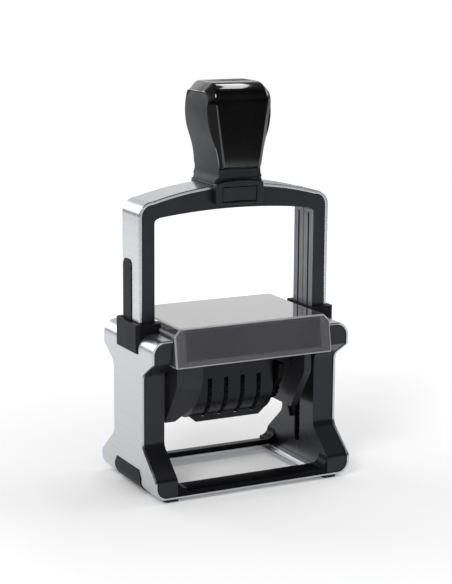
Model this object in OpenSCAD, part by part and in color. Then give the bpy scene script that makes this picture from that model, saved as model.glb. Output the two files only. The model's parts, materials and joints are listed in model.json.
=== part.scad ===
// Self-inking date stamp standing at rest, in millimetres, z up, front towards minus y

/* [Imprint] */
// Width of the raised printing area
text_w = 59; // [54:1:62]
// Depth of the raised printing area, front to back
text_d = 38; // [34:1:38]
// Height of the printing face over the rotor axle
die_h = 13; // [12:0.5:14]
// Height of the raised print over its rubber sheet
relief_h = 1.2; // [0.8:0.1:1.6]
// Thickness of the rubber sheet under the raised print
sheet_t = 1.2; // [0.8:0.1:1.6]
// Thickness of the stiff plate behind the rubber
die_t = 2.4; // [1.6:0.2:3]

/* [Press] */
// Travel of the handle from rest to paper
stroke = 45; // [44:0.5:48]
// Free height left over the pad cover at full press
press_spare = 1.6; // [1.2:0.2:4]
// Radius of the rotor axle pins
axle_r = 2; // [1.6:0.1:2.4]
// Distance of the cam pins from the rotor axle
cam_arm = 7; // [5:0.5:8]
// Radius of the cam pins
cam_pin_r = 1.5; // [1.2:0.1:1.8]
// Height of the ridges that make the cam track
cam_rib_h = 1.8; // [1.2:0.1:2]
// Width of each ridge beside the cam track
cam_rib_w = 1.4; // [1:0.1:2]

/* [Rotor] */
// Overhang of the rotor body past the printing area, each end
rotor_over = 1.5; // [1.4:0.1:2.5]
// Depth of the rotor body, front to back
rotor_d = 39; // [37:0.5:39]
// Depth of the rotor body below the axle
rotor_drop = 7.9; // [7:0.1:9]
// Width of the cheek on the left arm
arm_w = 12.9; // [10:0.1:13.2]
// Height of the hanging arms
arm_h = 19.6; // [16:0.2:20]
// Distance the arms lean back from top to bottom
arm_lean = 12.6; // [8:0.2:13]
// Depth of an arm at its top edge, front to back
arm_d = 18.8; // [14:0.2:19]
// Radius of the round end disc that carries the pins
disc_r = 10; // [9.2:0.1:10.1]
// Thickness of the end disc
disc_t = 3.5; // [2.5:0.1:4]
// Gap between the arms and the side walls
side_gap = 4.2; // [4:0.1:6]

/* [Dater] */
// Spacing of the date wheels
wheel_pitch = 8.5; // [8.4:0.1:8.6]
// Radius of the knurled rim of a date wheel
wheel_r = 14.2; // [13.4:0.1:14.4]
// Width of the knurled rim of a date wheel
rim_w = 1.5; // [1.1:0.1:1.6]
// Radius of the drum that drives a date band
drum_r = 6.2; // [5:0.1:7]
// Width of a date band
band_w = 5.2; // [4.4:0.1:5.4]
// Thickness of a date band
band_t = 0.9; // [0.7:0.1:1]
// Height of the raised blocks on a date band
block_h = 0.7; // [0.4:0.1:0.8]
// Radius of the nose that carries the bands to the print
nose_r = 2.4; // [2:0.1:2.6]
// Radius of the rod under the date wheels
rod_r = 1.3; // [1:0.1:1.6]
// Radius of the round guard over the wheels
guard_r = 13.8; // [13:0.1:13.9]
// Thickness of the guard
guard_t = 1.2; // [1:0.1:1.4]

/* [Base] */
// Thickness of the metal shell
shell_t = 1; // [0.8:0.1:1.4]
// Outside radius of the two lower shell corners
shell_corner = 6; // [4:0.5:7]
// Height of the rubber feet
foot_h = 1.6; // [1.2:0.1:3]
// Depth of the side walls at the waist
waist_d = 31.2; // [31:0.2:34]
// Depth of the ears, front to back
ear_d = 53.4; // [50:0.2:56]
// Depth of the front and rear bars
bar_d = 8.2; // [7:0.2:10]
// Height of the bars at the window edge
bar_h = 6.1; // [5:0.1:6.4]
// Height of the lower flare tips
flare_z = 10.6; // [9:0.1:12]
// Height at which the lower flare leaves the waist
flare_top = 22.6; // [20:0.2:26]
// Height of the ear tops below the pad cover top
ear_drop = 4.7; // [4.2:0.1:6]
// Height of an ear at its front and back ends
ear_h = 10.6; // [8:0.2:12]
// Height of the slope under an ear
ear_rise = 7.2; // [5:0.2:9]
// Outside radius of the two upper shell corners
ear_corner = 6.5; // [4:0.5:8]
// Radius where the waist runs into the flares
waist_r = 5; // [2:0.5:7]
// Thickness of the wall panel beside the rotor
panel_t = 1.6; // [1.2:0.1:2]

/* [Collars] */
// Depth of a collar, front to back
collar_d = 24; // [23:0.2:26]
// Height of a collar
collar_h = 13.2; // [10:0.2:15]
// Distance a collar stands out from the shell
collar_proud = 0.7; // [0.3:0.1:1.2]

/* [Bow] */
// Thickness of a leg, side to side
leg_t = 7.8; // [7.4:0.1:9]
// Depth of the bow, front to back
bow_d = 18.4; // [18:0.2:20]
// Thickness of the metal skin over the bow
skin_t = 1.6; // [1.2:0.1:1.8]
// Height of the bow beam at mid width
beam_h = 11; // [9.5:0.1:12]
// Rise of the beam underside from leg to mid width
under_rise = 2.7; // [1.5:0.1:4]
// Rise of the beam top from corner to mid width
crown_rise = 5.7; // [4:0.1:6.2]
// Outside radius of the bow corners
bow_corner = 7; // [5:0.5:9]
// Radius of the upper corners of the bow opening
opening_r = 2.2; // [1:0.1:4]
// Length of a leg below the axle
leg_tail = 5; // [4.2:0.2:6]
// Height of the dark strip on the outside of each leg
strip_h = 27.4; // [20:0.2:32]
// Depth of the dark strip, front to back
strip_d = 8.8; // [6:0.2:9]
// Distance the dark strip stands out from the skin
strip_proud = 0.4; // [0.2:0.1:0.6]

/* [Knob] */
// Height of the knob over the beam top
knob_h = 45.7; // [40:0.1:52]
// Greatest width of the knob
knob_w = 33; // [29:0.2:36]
// Greatest depth of the knob
knob_d = 28; // [27:0.2:30]
// Width of the knob neck
neck_w = 21; // [18:0.2:24]
// Width of the saddle under the knob
saddle_w = 24; // [23:0.2:27]
// Depth of the saddle, front to back
saddle_d = 25.8; // [25:0.2:27]
// Width of a lock button
button_w = 17; // [14:0.2:18]
// Height of a lock button
button_h = 6.4; // [5:0.2:6.8]

/* [Pad cover] */
// Depth of the clear cover at its lower edge
cover_d = 55; // [53:0.2:57]
// Distance the cover front leans back over its height
cover_lean = 2.8; // [1:0.1:3.4]
// Wall thickness of the clear cover
cover_t = 1.4; // [1:0.1:1.6]
// Width of the chamfer along the upper side edges
cover_chamfer = 3; // [2:0.1:3.4]
// Height of the cover over the pad face
cover_rise = 6.5; // [6.2:0.1:8]
// Height of the cover skirt below the pad face
cover_skirt = 11.1; // [9:0.1:11.4]
// Wall thickness of the pad tray
tray_t = 1.4; // [1:0.1:1.6]
// Thickness of the ink pad
pad_t = 3.4; // [2.6:0.1:3.4]

/* [Springs] */
// Outside radius of a return spring
spring_r = 2.2; // [1.8:0.1:2.2]
// Wire diameter of a return spring
wire_d = 0.7; // [0.5:0.05:0.8]
// Number of curls in a return spring
curls = 34; // [28:1:36]

/* [Fits] */
// Gap between sliding or turning faces
run_gap = 0.3; // [0.25:0.05:0.35]
// Gap around a pin that turns in a bore
pin_gap = 0.05; // [0.03:0.01:0.08]
// Gap between pieces seated in one another
seat_gap = 0.1; // [0.05:0.01:0.15]
// Gap between the raised print and the pad at rest
pad_gap = 1.2; // [1:0.1:1.6]

/* [Hidden] */
$fn = 48;
// Overlap that keeps joined solids and cuts clean
eps = 0.02;
// Reach of a cut that must pass the whole part
far = 300;

// Small margins and clearances
die_rim = 0.5;
window_gap = 2.5;
wall_recess = 0.6;
arm_gap = 1.2;
saddle_lift = 1.9;
guard_below = 1.7;
guard_tab_t = 0.8;
guard_tab_d = 3;
flange_t = 4;
block_y = 6;
cheek_t = 2.2;
cheek_r = 14;
band_side_gap = 0.2;
bay_gap = 0.6;
bay_wall = 1.6;
drawer_gap = 0.7;
sill_drop = 0.6;
wall_floor = 1.5;
plate_t = 3.7;
plate_proud = 0.6;
button_t = 1.7;
button_sink = 0.3;
bush_t = 4;
bush_wall = 1;
cam_bed = 0.5;
cam_steps = 28;
arc_steps = 6;

// Screws under the base
screw_head_r = 2.2;
screw_r = 1.2;
screw_len = 9;
screw_in = 3.2;
screw_out = 4;

// Row of date wheels: middle of each rim, the bands beside the rims, and the guard over all
wheel_count = 4;
drum_w = band_w + 2 * band_side_gap;
function wheel_x(i) = (i - (wheel_count + 1) / 2) * wheel_pitch;
bands_x0 = wheel_x(1) + rim_w / 2;
bands_x1 = wheel_x(wheel_count) + rim_w / 2 + drum_w;
guard_x = bands_x1 + seat_gap + guard_t;
bay_x = guard_x - guard_t + seat_gap;

// Half sizes across the width, from the middle outward: the arms pass outside the guard
text_x = text_w / 2;
die_x = text_x + die_rim;
window_x = text_x + window_gap;
rotor_x = max(text_x + rotor_over, guard_x + arm_gap + arm_w - disc_t);
arm_out = rotor_x + disc_t;
arm_in = arm_out - arm_w;
wall_in = arm_out + side_gap;
cavity_in = wall_in + panel_t;
leg_in = cavity_in + run_gap;
leg_out = leg_in + leg_t;
strip_out = leg_out + strip_proud;
shell_in = strip_out + run_gap;
shell_out = shell_in + shell_t;
collar_out = shell_out + collar_proud;
core_out = leg_out - skin_t;

// Half sizes from front to back
text_y = text_d / 2;
die_y = text_y + die_rim;
rotor_y = rotor_d / 2;
window_y = text_y + window_gap;
plate_lip = 0.5;
base_y = window_y + bar_d;
waist_y = waist_d / 2;
collar_y = collar_d / 2;
bow_y = bow_d / 2;
leg_hole_y = bow_y + run_gap;

// Heights
axle_z = stroke + die_h;
pad_z = axle_z + die_h + pad_gap;
cover_z0 = pad_z - cover_skirt;
cover_z1 = pad_z + cover_rise;
ledge_z = cover_z0 - seat_gap;
collar_z1 = cover_z1 - seat_gap;
collar_z0 = collar_z1 - collar_h;
plate_z = foot_h + shell_t;
floor_z = plate_z + wall_floor;
leg_z0 = axle_z - leg_tail;
under_z = cover_z1 + stroke + press_spare;
beam_z0 = under_z + under_rise;
beam_z1 = beam_z0 + beam_h;
knob_z1 = beam_z1 + knob_h;
saddle_z0 = beam_z0 + saddle_lift;
saddle_z1 = beam_z1 + saddle_lift;

// Heights of the side outline of the base
ear_y = ear_d / 2;
ear_top = cover_z1 - ear_drop;
ear_low = ear_top - ear_h;
waist_top = ear_low - ear_rise;

// Bow outline: true arcs for the beam top and underside
corner_x = leg_out - bow_corner;
crown_r = (corner_x * corner_x + crown_rise * crown_rise) / (2 * crown_rise);
under_r = (leg_in * leg_in + under_rise * under_rise) / (2 * under_rise);

// Rotor layers over the axle and the dater layout
body_z1 = die_h - relief_h - sheet_t - die_t;
flange_z = body_z1 - flange_t;
nose_z = die_h - nose_r - band_t - block_h;
guard_y = 5;
guard_z = guard_r - arm_h - rotor_drop - guard_below;
bay_y0 = guard_y - wheel_r - bay_gap;
bay_y1 = rotor_y - bay_wall;
band_run = sqrt(guard_y * guard_y + pow(nose_z - guard_z, 2));
band_turn = atan2(guard_y, nose_z - guard_z);

// Pad drawer
cover_x = leg_in - run_gap - drawer_gap;
cover_y0 = -base_y;
cover_y1 = cover_y0 + cover_d;
tray_x = arm_out + drawer_gap + tray_t;
tray_y0 = cover_y0 + cover_lean + cover_t + seat_gap;
tray_y1 = cover_y1 - cover_t - seat_gap;
tray_z1 = cover_z1 - cover_t - seat_gap;
rear_sill = pad_z - sill_drop;

// Knob profile
neck_rise = 3.6;
neck_in = 1.8;
foot_out = 1.5;
bulge_drop = 12.6;
bulge_share = 0.45;
crown = 4.4;
crown_skirt = 0.2;
bend_r = 5;
arch_r = 60;
neck_z = saddle_z1 + neck_rise;
bulge_z = knob_z1 - bulge_drop;
neck_y = knob_d / 2 - neck_in;

// Glossy wrap of the knob: lower and upper edges, half widths and faces
plate_foot = 3.5;
plate_margin = 3.2;
plate_ledge = 1.2;
plate_z0 = neck_z + plate_foot;
plate_x0 = neck_w / 2;
plate_x1 = knob_w / 2 - plate_margin;
plate_y = knob_d / 2 + plate_proud;
seat_y = plate_y - plate_t;
seat_z = knob_z1 - crown - crown_skirt;

// Lock buttons
button_low = 0.8;
button_z = (saddle_z0 + saddle_z1) / 2 - button_low;
button_y = saddle_d / 2 - button_sink;

// Return springs
spring_x = (leg_in + core_out) / 2;
spring_wall = 1.2;
bore_cap = 22;
spring_y = bow_y - spring_r - spring_wall;
bore_r = spring_r + run_gap;
bore_z1 = under_z - bore_cap;
spring_len = bore_z1 - floor_z;
wire_r = wire_d / 2;
curl_rings = 8;
// Point of the spring wire at one ring, a distance outside its centre line
function wire_point(i, out) =
    let (a = 360 * i / curl_rings, r = spring_r - wire_r + out)
    [r * cos(a), r * sin(a), wire_r + (spring_len - wire_d) * i / (curls * curl_rings)];
// Least gap between neighbouring curls at rest
curl_gap = min([
    for (i = [0 : (curls - 1) * curl_rings], k = [-3 : 3])
        let (j = i + curl_rings + k)
        if (j <= curls * curl_rings)
            norm(wire_point(j, 0) - wire_point(i, 0))
]) - wire_d;
echo(curl_gap = curl_gap);
bush_r = axle_r + bush_wall;

// Piece to draw, or all of them

// Draws a y-z shape from one x to another
module side_extrude(x0, x1) {
    translate([x0, 0, 0])
        rotate([90, 0, 90])
            linear_extrude(x1 - x0)
                children();
}

// Draws an x-z shape from one y to another
module front_extrude(y0, y1) {
    translate([0, y1, 0])
        rotate([90, 0, 0])
            linear_extrude(y1 - y0)
                children();
}

// Turns a right-hand piece into its left-hand twin
module left() {
    mirror([1, 0, 0])
        children();
}

// Repeats a right-hand shape on both sides
module both() {
    children();
    left()
        children();
}

// Repeats a front or rear shape on both faces
module front_and_rear() {
    children();
    mirror([0, 1, 0])
        children();
}

// Places a shape drawn about the rotor axle
module on_rotor() {
    translate([0, 0, axle_z])
        children();
}

// Rectangle between two corners
module span(x0, y0, x1, y1) {
    translate([x0, y0])
        square([x1 - x0, y1 - y0]);
}

// Front outline of the shell, shrunk by an inset: a round-cornered rectangle
module front_outline(inset) {
    half = shell_out - inset;
    low = foot_h + inset;
    top = ear_top - inset;
    low_r = shell_corner - inset;
    top_r = ear_corner - inset;
    span(-half, low + low_r, half, top - top_r);
    span(low_r - half, low, half - low_r, low + 2 * low_r);
    span(top_r - half, top - 2 * top_r, half - top_r, top);
    for (s = [-1, 1]) {
        translate([s * (half - low_r), low + low_r])
            circle(low_r);
        translate([s * (half - top_r), top - top_r])
            circle(top_r);
    }
}

// Corner of an outline rounded to a radius, as points on its arc
function corner_arc(before, at, after, r) =
    let (
        u = (before - at) / norm(before - at),
        v = (after - at) / norm(after - at),
        half = acos(u * v) / 2,
        mid = at + (u + v) / norm(u + v) * r / sin(half),
        start = at + u * r / tan(half) - mid,
        turn = (u.x * v.y - u.y * v.x < 0 ? 1 : -1) * (180 - 2 * half)
    )
    [for (i = [0 : arc_steps])
        let (a = turn * i / arc_steps)
        mid + [start.x * cos(a) - start.y * sin(a), start.x * sin(a) + start.y * cos(a)]];

// Closed outline from corners that each give a place and a radius
module rounded_outline(corners) {
    n = len(corners);
    function place(i) = [corners[i % n].x, corners[i % n].y];
    polygon([for (i = [0 : n - 1]) each corner_arc(place(i + n - 1), place(i), place(i + 1), corners[i].z)]);
}

// Side outline of the base, its front and back drawn in by an inset
module side_outline(inset) {
    tip_r = 2.4;
    end_r = 0.8;
    right = [
        [base_y - inset, foot_h, end_r],
        [base_y - inset, flare_z, tip_r],
        [waist_y - inset, flare_top, waist_r],
        [waist_y - inset, waist_top, waist_r],
        [ear_y - inset, ear_low, end_r],
        [ear_y - inset, ear_top, end_r]
    ];
    left = [for (i = [len(right) - 1 : -1 : 0]) [-right[i].x, right[i].y, right[i].z]];
    rounded_outline(concat(right, left));
}

// Outline of the dark piece let into the foot of each side
module side_foot_outline(grow) {
    low = waist_y - 2.6 + grow;
    wide = waist_y - 1.1 + grow;
    top = waist_y - 3.3 + grow;
    shoulder = flare_z - 2.3;
    polygon([
        [-low, 0], [low, 0], [wide, shoulder], [top, flare_z + 1.3 + grow],
        [-top, flare_z + 1.3 + grow], [-wide, shoulder]
    ]);
}

// Hole pattern of the four screws under the base
module at_screws() {
    for (sx = [-1, 1], sy = [-1, 1])
        translate([sx * (wall_in + screw_in), sy * (waist_y + screw_out), 0])
            children();
}

module outer_shell() {
    top_half = cover_x + run_gap;
    color("silver")
        difference() {
            intersection() {
                front_extrude(-far, far)
                    difference() {
                        front_outline(0);
                        front_outline(shell_t);
                        span(-top_half, plate_z, top_half, far);
                    }
                side_extrude(-far, far)
                    side_outline(0);
            }
            both() {
                side_extrude(shell_in - shell_corner, far)
                    side_foot_outline(seat_gap);
                side_extrude(cover_x, far)
                    span(-collar_y - seat_gap, collar_z0 - seat_gap, collar_y + seat_gap, far);
            }
            linear_extrude(plate_z + 1)
                span(-window_x, plate_lip - window_y, window_x, window_y - plate_lip);
            at_screws()
                cylinder(h = plate_z + 1, r = screw_head_r + seat_gap);
        }
}

// Path of a cam pin: the rotor makes half a turn while it drops by the stroke
function cam_point(t) = [cam_arm * sin(180 * t), axle_z - stroke * t - cam_arm * cos(180 * t)];
function cam_normal(t) =
    let (
        dy = cam_arm * PI * cos(180 * t),
        dz = cam_arm * PI * sin(180 * t) - stroke,
        n = sqrt(dy * dy + dz * dz)
    )
    [-dz / n, dy / n];

// Ribbon along the cam path, reaching a given distance to both sides
module cam_ribbon(reach, ends) {
    times = [for (i = [0 : cam_steps]) ends + (1 - 2 * ends) * i / cam_steps];
    ahead = [for (t = times) cam_point(t) + reach * cam_normal(t)];
    back = [for (i = [cam_steps : -1 : 0]) cam_point(times[i]) - reach * cam_normal(times[i])];
    polygon(concat(ahead, back));
}

// Straight slot for an axle pin, open at its upper end
module axle_slot() {
    r = axle_r + run_gap;
    translate([0, axle_z - stroke])
        circle(r);
    span(-r, axle_z - stroke, r, far);
}

module frame_wall() {
    color("dimgray")
        difference() {
            intersection() {
                side_extrude(wall_in, shell_in)
                    side_outline(wall_recess);
                front_extrude(-far, far)
                    front_outline(shell_t);
            }
            translate([cavity_in, -leg_hole_y, floor_z])
                cube([far, 2 * leg_hole_y, far]);
            translate([0, -far, ledge_z])
                cube([cover_x + run_gap, 2 * far, far]);
            translate([0, -collar_y - seat_gap, collar_z0 - seat_gap])
                cube([far, 2 * (collar_y + seat_gap), far]);
            side_extrude(0, cavity_in + eps)
                axle_slot();
            at_screws()
                cylinder(h = screw_len + 1, r = screw_r + pin_gap);
        }
}

// Raised S track for a cam pin, cut away where the axle passes
module cam_track() {
    blend_off = 0.08;
    color("dimgray")
        difference() {
            side_extrude(wall_in - cam_rib_h, wall_in)
                difference() {
                    intersection() {
                        cam_ribbon(cam_pin_r + run_gap + cam_rib_w, blend_off);
                        span(axle_r + run_gap, 0, far, far);
                    }
                    axle_slot();
                }
            side_extrude(0, wall_in - cam_bed)
                cam_ribbon(cam_pin_r + run_gap, 0);
        }
}

// Bar across the front with a fillet up to each side wall
module cross_bar() {
    y0 = wall_recess - base_y;
    fillet = 4.5;
    edge_h = 1.8;
    slope_d = 1.2;
    slope_h = 2.6;
    color("dimgray") {
        side_extrude(-wall_in, wall_in)
            polygon([
                [y0, plate_z], [y0, plate_z + edge_h], [y0 + slope_d, plate_z + slope_h],
                [-window_y, bar_h], [-window_y, plate_z]
            ]);
        intersection() {
            front_extrude(y0, -window_y)
                both()
                    difference() {
                        span(wall_in - fillet, plate_z + 1, wall_in, bar_h + fillet);
                        translate([wall_in - fillet, bar_h + fillet])
                            circle(fillet);
                    }
            side_extrude(-wall_in, wall_in)
                side_outline(wall_recess);
        }
    }
}

module front_bar() {
    cross_bar();
}

module rear_bar() {
    mirror([0, 1, 0])
        cross_bar();
}

// Guide that closes round a leg on top of each side
module collar() {
    lip_x = cover_x - 0.6;
    lip_h = 2;
    color("dimgray")
        difference() {
            translate([lip_x, -collar_y, collar_z0])
                cube([collar_out - lip_x, collar_d, collar_h]);
            translate([0, -far, 0])
                cube([cover_x + run_gap, 2 * far, collar_z1 - lip_h]);
            translate([cavity_in, -leg_hole_y, 0])
                cube([shell_in - cavity_in, 2 * leg_hole_y, far]);
            translate([0, -leg_hole_y, 0])
                cube([shell_in, 2 * leg_hole_y, collar_z1 - lip_h]);
            for (m = [0, 1])
                mirror([0, m, 0])
                    translate([collar_out, collar_y, 0])
                        rotate([0, 0, 45])
                            cube([2, 2, far], center = true);
        }
}

// Dark piece that follows the shell round its lower corner
module side_foot() {
    proud = 0.4;
    color("dimgray")
        intersection() {
            front_extrude(-far, far)
                difference() {
                    front_outline(-proud);
                    front_outline(shell_t);
                }
            side_extrude(shell_in - shell_corner, far)
                side_foot_outline(0);
        }
}

// Metal rim inside the window, along the bars and below the side walls
module window_rim() {
    rim_t = 0.8;
    rim_h = 1.2;
    half_x = wall_in - seat_gap;
    half_y = window_y - seat_gap;
    inner_x = arm_out + run_gap;
    color("silver")
        translate([0, 0, plate_z])
            linear_extrude(rim_h)
                difference() {
                    span(-half_x, -half_y, half_x, half_y);
                    span(-inner_x, rim_t - half_y, inner_x, half_y - rim_t);
                }
}

module rubber_feet() {
    foot_w = 7;
    foot_d = 5.6;
    round_r = 1.6;
    corner_gap = 3.2;
    edge_gap = 4.2;
    color("black")
        for (sx = [-1, 1], sy = [-1, 1])
            translate([sx * (shell_out - shell_corner - corner_gap), sy * (base_y - edge_gap), 0])
                linear_extrude(foot_h)
                    union() {
                        square([foot_w, foot_d - 2 * round_r], center = true);
                        square([foot_w - 2 * round_r, foot_d], center = true);
                        for (cx = [-1, 1], cy = [-1, 1])
                            translate([cx * (foot_w / 2 - round_r), cy * (foot_d / 2 - round_r)])
                                circle(round_r);
                    }
}

module base_screws() {
    cross = 0.6;
    color("silver")
        at_screws()
            difference() {
                union() {
                    translate([0, 0, foot_h + 0.2])
                        cylinder(h = shell_t - 0.2, r = screw_head_r);
                    translate([0, 0, foot_h + 0.2])
                        cylinder(h = screw_len - foot_h, r = screw_r);
                }
                for (a = [0, 90])
                    rotate([0, 0, a])
                        translate([-screw_head_r * 0.7, -cross / 2, 0])
                            cube([screw_head_r * 1.4, cross, foot_h + 0.7]);
            }
}

// One unbroken wire wound upward from the floor of the wall
module return_spring() {
    sides = 6;
    steps = curls * curl_rings;
    points = [
        for (i = [0 : steps], k = [0 : sides - 1])
            let (b = 360 * k / sides)
            wire_point(i, wire_r * cos(b)) + [0, 0, wire_r * sin(b)]
    ];
    skin = [
        for (i = [0 : steps - 1], k = [0 : sides - 1])
            let (n = (k + 1) % sides, low = i * sides, high = low + sides)
            each [[low + k, high + k, high + n], [low + k, high + n, low + n]]
    ];
    start = [for (k = [0 : sides - 1]) k];
    end = [for (k = [sides - 1 : -1 : 0]) steps * sides + k];
    color("gray")
        translate([spring_x, spring_y, floor_z])
            polyhedron(points, concat([start], skin, [end]));
}

// Front outline of the bow, shrunk by an inset, without its opening
module bow_outline(inset) {
    half = leg_out - inset;
    r = bow_corner - inset;
    intersection() {
        union() {
            span(-half, leg_z0, half, beam_z1 - crown_rise - bow_corner);
            span(-corner_x, leg_z0, corner_x, far);
            for (s = [-1, 1])
                translate([s * corner_x, beam_z1 - crown_rise - bow_corner])
                    circle(r);
        }
        union() {
            translate([0, beam_z1 - crown_r])
                circle(crown_r - inset, $fn = 180);
            span(-far, 0, far, beam_z1 - crown_rise - bow_corner);
            for (s = [-1, 1])
                translate([s * corner_x, beam_z1 - crown_rise - bow_corner])
                    circle(r);
        }
    }
}

// Opening of the bow with an arched upper edge and round upper corners
module bow_opening() {
    intersection() {
        union() {
            span(-leg_in, 0, leg_in, under_z - opening_r);
            span(opening_r - leg_in, 0, leg_in - opening_r, far);
            for (s = [-1, 1])
                translate([s * (leg_in - opening_r), under_z - opening_r])
                    circle(opening_r);
        }
        union() {
            translate([0, beam_z0 - under_r])
                circle(under_r, $fn = 180);
            span(-far, 0, far, under_z - opening_r);
            for (s = [-1, 1])
                translate([s * (leg_in - opening_r), under_z - opening_r])
                    circle(opening_r);
        }
    }
}

module bow_skin() {
    color("silver")
        difference() {
            front_extrude(-bow_y, bow_y)
                difference() {
                    bow_outline(0);
                    bow_outline(skin_t);
                    bow_opening();
                }
            both()
                side_extrude(leg_out - skin_t / 2 - eps, far)
                    leg_strip_outline(seat_gap);
        }
}

// Outline of the strip at the rear of each outer leg face, with a sloping top
module leg_strip_outline(grow) {
    y1 = bow_y - 1.6 + grow;
    y0 = y1 - strip_d - grow;
    top = collar_z1 + strip_h + grow;
    polygon([
        [y0, leg_z0 - grow], [y1, leg_z0 - grow], [y1, top - 2.2],
        [y1 - 1.6, top], [y0 + 1.4, top], [y0, top - 1.4]
    ]);
}

module leg_strip() {
    color("dimgray")
        side_extrude(leg_out - skin_t / 2, strip_out)
            leg_strip_outline(0);
}

// Room in both legs for the axle bushes and the springs
module leg_bores() {
    both() {
        translate([leg_in - eps, 0, axle_z])
            rotate([0, 90, 0])
                cylinder(h = bush_t + seat_gap + eps, r = bush_r + pin_gap);
        translate([spring_x, spring_y, 0])
            cylinder(h = bore_z1, r = bore_r);
    }
}

// Half of the dark frame inside the bow, from its seam to its face
module bow_frame_half() {
    seam = 0.2;
    face_in = 0.3;
    groove_w = 1.2;
    groove_t = 0.5;
    color("dimgray")
        difference() {
            front_extrude(face_in - bow_y, -seam)
                difference() {
                    bow_outline(skin_t);
                    bow_opening();
                }
            both()
                translate([leg_in - eps, -bow_y * 0.55, leg_z0 + 2 * leg_tail])
                    cube([groove_t, groove_w, under_z - leg_z0 - 2 * leg_tail - 3]);
        }
}

module bow_frame_front() {
    difference() {
        bow_frame_half();
        leg_bores();
    }
}

module bow_frame_rear() {
    difference() {
        mirror([0, 1, 0])
            bow_frame_half();
        leg_bores();
    }
}

module axle_bush() {
    color("white")
        translate([leg_in, 0, axle_z])
            rotate([0, 90, 0])
                difference() {
                    cylinder(h = bush_t, r = bush_r);
                    translate([0, 0, -1])
                        cylinder(h = bush_t + 2, r = axle_r + pin_gap);
                }
}

// Clamp over the middle of the beam, with a window for each lock button
module saddle() {
    round_r = 2;
    half = saddle_w / 2;
    color("dimgray")
        difference() {
            front_extrude(-saddle_d / 2, saddle_d / 2)
                intersection() {
                    union() {
                        span(-half, saddle_z0 + round_r, half, far);
                        span(round_r - half, saddle_z0, half - round_r, far);
                        for (s = [-1, 1])
                            translate([s * (half - round_r), saddle_z0 + round_r])
                                circle(round_r);
                    }
                    saddle_arch(0);
                }
            front_extrude(-bow_y - seat_gap, bow_y + seat_gap)
                union() {
                    bow_outline(-seat_gap);
                    span(-far, 0, far, saddle_z0 + round_r);
                }
            front_extrude(-far, far)
                span(-button_w / 2 - run_gap, button_z - button_h / 2 - run_gap,
                    button_w / 2 + run_gap, button_z + button_h / 2 + run_gap);
        }
}

// Outline from the points of its right half, mirrored to the left
module mirrored_outline(right) {
    polygon(concat(right, [for (i = [len(right) - 1 : -1 : 0]) [-right[i].x, right[i].y]]));
}

// Depth of a round hollow of radius r at a distance from its lowest point
function hollow(r, distance) = r - sqrt(r * r - distance * distance);

// Waisted front profile of the knob: a flared foot, a hollow neck, a round bulge and a chamfered crown
module knob_profile() {
    neck = neck_w / 2;
    bulge = knob_w / 2;
    step = bulge - neck;
    rise = bulge_z - neck_z;
    radii = (step * step + rise * rise) / (2 * step);
    bulge_r = radii * bulge_share;
    neck_r = radii - bulge_r;
    meet_z = neck_z + rise * neck_r / radii;
    foot_r = (foot_out * foot_out + neck_rise * neck_rise) / (2 * foot_out);
    shoulder_z = knob_z1 - crown;
    below = 3;
    steps = 24;
    function width(z) =
        z < neck_z ? neck + hollow(foot_r, neck_z - z)
        : z < meet_z ? neck + hollow(neck_r, z - neck_z)
        : bulge - hollow(bulge_r, z - bulge_z);
    heights = [for (i = [0 : steps]) saddle_z1 + (shoulder_z - saddle_z1) * i / steps];
    mirrored_outline(concat(
        [[width(saddle_z1), saddle_z1 - below]],
        [for (z = heights) [width(z), z]],
        [[width(shoulder_z) - crown, knob_z1]]
    ));
}

// Arched top of the saddle, on which the knob stands
module saddle_arch(grow) {
    translate([0, saddle_z1 - arch_r])
        circle(arch_r + grow, $fn = 180);
}

// Matt core of the knob, undercut in front of and behind the saddle
module knob_grip() {
    undercut = 1.3;
    undercut_h = 0.7;
    flare = 0.5;
    below = 2;
    color("dimgray")
        difference() {
            intersection() {
                front_extrude(-far, far)
                    knob_profile();
                side_extrude(-far, far)
                    mirrored_outline([
                        [neck_y - undercut, saddle_z1 - below], [neck_y - undercut, saddle_z1 + undercut_h],
                        [neck_y + flare, saddle_z1 + 2 * undercut_h], [neck_y, neck_z], [neck_y, plate_z0],
                        [seat_y, seat_z]
                    ]);
            }
            front_extrude(-far, far)
                saddle_arch(seat_gap);
        }
}

// Space beyond a plane that bevels the wrap where its face meets the side of the knob
module bevel_space() {
    rotate([0, 0, -45])
        translate([0, -far, -far])
            cube([far, 2 * far, 2 * far]);
}

// Glossy shell bent over the knob from its front face to its back
module knob_wrap() {
    slope = atan2(plate_x1 - plate_x0, knob_z1 - bend_r - plate_z0);
    bend_mid = bend_r * (1 - sin(45));
    bend = [for (i = [0 : arc_steps]) let (a = 90 * i / arc_steps) [
        plate_y - bend_r * (1 - cos(a)), knob_z1 - bend_r * (1 - sin(a))
    ]];
    color("black")
        difference() {
            intersection() {
                front_extrude(-far, far)
                    knob_profile();
                side_extrude(-far, far)
                    difference() {
                        mirrored_outline(concat(
                            [[plate_y - plate_ledge, plate_z0], [plate_y, plate_z0 + plate_ledge]], bend
                        ));
                        mirrored_outline([
                            [neck_y + seat_gap, plate_z0 - plate_ledge], [neck_y + seat_gap, plate_z0],
                            [seat_y + seat_gap, seat_z + seat_gap]
                        ]);
                    }
            }
            front_and_rear()
                both() {
                    translate([plate_x0, -plate_y, plate_z0])
                        rotate([0, slope, 0])
                            bevel_space();
                    translate([plate_x1, bend_mid - plate_y, knob_z1 - bend_mid])
                        rotate([-45, 0, 0])
                            bevel_space();
                }
        }
}

// Push button with a hollow face
module lock_button() {
    dish_r = 26;
    dish_t = 0.8;
    color("dimgray")
        difference() {
            front_extrude(-button_y, button_t - button_y)
                span(-button_w / 2, button_z - button_h / 2, button_w / 2, button_z + button_h / 2);
            translate([0, dish_t - button_y - dish_r, button_z])
                cylinder(h = far, r = dish_r, center = true);
        }
}

module lock_button_front() {
    lock_button();
}

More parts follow.
